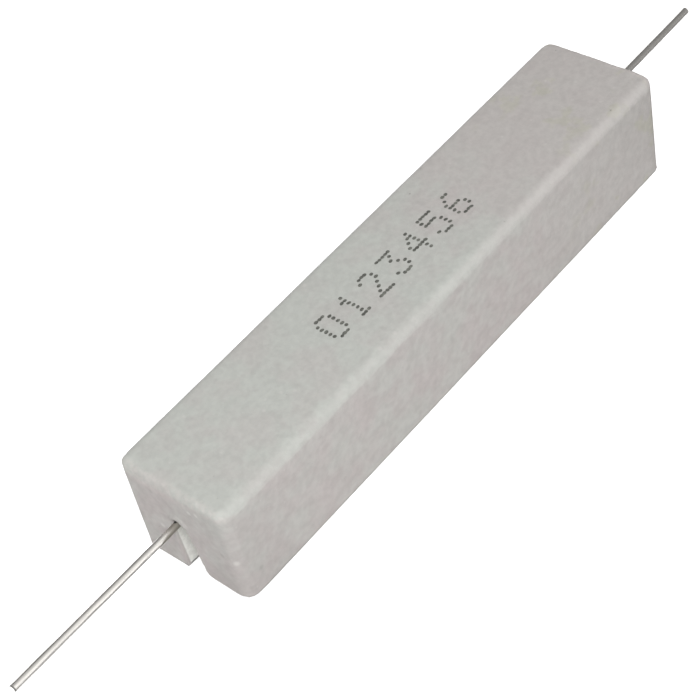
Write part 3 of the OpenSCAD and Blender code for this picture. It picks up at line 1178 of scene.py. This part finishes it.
def build_card(card, name, tones):
    """Marks a studio card that only the metal mirrors."""
    card.name = name
    apply_place()
    activate(card)
    bpy.ops.transform.resize(value=(MM, MM, MM), center_override=(0, 0, 0))
    apply_place()
    card.data.materials.append(card_material(name, *tones))
    card.visible_camera = card.visible_diffuse = card.visible_shadow = False
    card.visible_transmission = card.visible_volume_scatter = False


def build_cards():
    """Cards for the wires to mirror: arches over the leads, and dim strips on the floor that
    paint its shade into their reflection.
    """
    for name, start_x, end_x, turn, tones in (("near_arch", -160, 30, 170, (0.1, 1.2)),
                                              ("far_arch", 30, 190, 178, (0.17, 0.33))):
        deselect_all()
        bpy.ops.mesh.primitive_plane_add(size=1)
        card = bpy.context.object
        edit(card)
        select(card, "VERT", lambda vert: vert.co.y > 0)
        bpy.ops.mesh.delete(type="VERT")
        for side, x in ((1, end_x), (-1, start_x)):
            select(card, "VERT", lambda vert: vert.co.x * side > 0)
            bpy.ops.transform.translate(value=(x - side * 0.5, CARD_R + 0.5, 0.2))
        bpy.ops.mesh.select_all(action="SELECT")
        bpy.ops.mesh.spin(steps=24, angle=math.radians(turn), center=(0, 0, 0),
                          axis=(-1, 0, 0))
        leave_edit()
        build_card(card, name, tones)
    # Dim strips on the floor: a painted shadow that only the wires mirror
    for name, start_x, end_x, tones in (("near_strip", -160, -40, (0.02, 0.72)),
                                        ("root_strip", -40, -25, (0.08, 0.5)),
                                        ("far_strip", 33, 190, (0.26, 0.26))):
        deselect_all()
        centre = ((start_x + end_x) / 2, -36, 0.05)
        bpy.ops.mesh.primitive_plane_add(size=1, location=centre)
        strip = bpy.context.object
        strip.scale = (end_x - start_x, 70, 1)
        build_card(strip, name, tones)


# Operators and panel


class RESISTOR_OT_case(bpy.types.Operator):
    """Build the fired ceramic case"""

    bl_idname = "resistor.case"
    bl_label = "Ceramic case"

    def execute(self, context):
        build_case(context.scene.resistor_case)
        return {"FINISHED"}


class RESISTOR_OT_cement(bpy.types.Operator):
    """Build the cement that seals the case"""

    bl_idname = "resistor.cement"
    bl_label = "Cement"

    def execute(self, context):
        build_cement(context.scene.resistor_cement, context.scene.resistor_case)
        return {"FINISHED"}


class RESISTOR_OT_leads(bpy.types.Operator):
    """Build the two tinned leads"""

    bl_idname = "resistor.leads"
    bl_label = "Leads"

    def execute(self, context):
        build_leads(context.scene.resistor_lead)
        return {"FINISHED"}


class RESISTOR_OT_digits(bpy.types.Operator):
    """Print plain digits on the case"""

    bl_idname = "resistor.digits"
    bl_label = "Printed digits"

    def execute(self, context):
        build_digits(context.scene.resistor_print)
        return {"FINISHED"}


class RESISTOR_OT_inner(bpy.types.Operator):
    """Finish the pieces that are sealed in the cement"""

    bl_idname = "resistor.inner"
    bl_label = "Wound element"

    def execute(self, context):
        finish_inner_pieces()
        return {"FINISHED"}


class RESISTOR_OT_stage(bpy.types.Operator):
    """Set the camera, the floor and the lights"""

    bl_idname = "resistor.stage"
    bl_label = "Stage"

    def execute(self, context):
        stage = context.scene.resistor_stage
        context.scene.view_settings.view_transform = "Standard"
        build_camera()
        build_world(stage)
        build_floor(stage)
        build_key(stage)
        build_cards()
        return {"FINISHED"}


OPERATORS = (RESISTOR_OT_stage, RESISTOR_OT_case, RESISTOR_OT_cement, RESISTOR_OT_leads,
             RESISTOR_OT_digits, RESISTOR_OT_inner)


class RESISTOR_PT_build(bpy.types.Panel):
    """Lists the steps that build the resistor"""

    bl_idname = "RESISTOR_PT_build"
    bl_label = "Cement resistor"
    bl_space_type = "VIEW_3D"
    bl_region_type = "UI"
    bl_category = "Resistor"

    def draw(self, context):
        for step in OPERATORS:
            self.layout.operator(step.bl_idname)


SETTINGS = {"resistor_case": CaseSettings, "resistor_cement": CementSettings,
            "resistor_lead": LeadSettings, "resistor_print": PrintSettings,
            "resistor_stage": StageSettings}


def register():
    """Registers the classes and hangs the settings on the scene."""
    for made in (*SETTINGS.values(), *OPERATORS, RESISTOR_PT_build):
        bpy.utils.register_class(made)
    for name, made in SETTINGS.items():
        setattr(bpy.types.Scene, name, bpy.props.PointerProperty(type=made))


def unregister():
    """Takes off the settings and the classes."""
    for name in SETTINGS:
        delattr(bpy.types.Scene, name)
    for made in (RESISTOR_PT_build, *reversed(OPERATORS), *SETTINGS.values()):
        bpy.utils.unregister_class(made)


def main():
    register()
    bpy.ops.resistor.stage()
    bpy.ops.resistor.case()
    bpy.ops.resistor.cement()
    bpy.ops.resistor.leads()
    bpy.ops.resistor.digits()
    bpy.ops.resistor.inner()


if __name__ == "__main__":
    main()
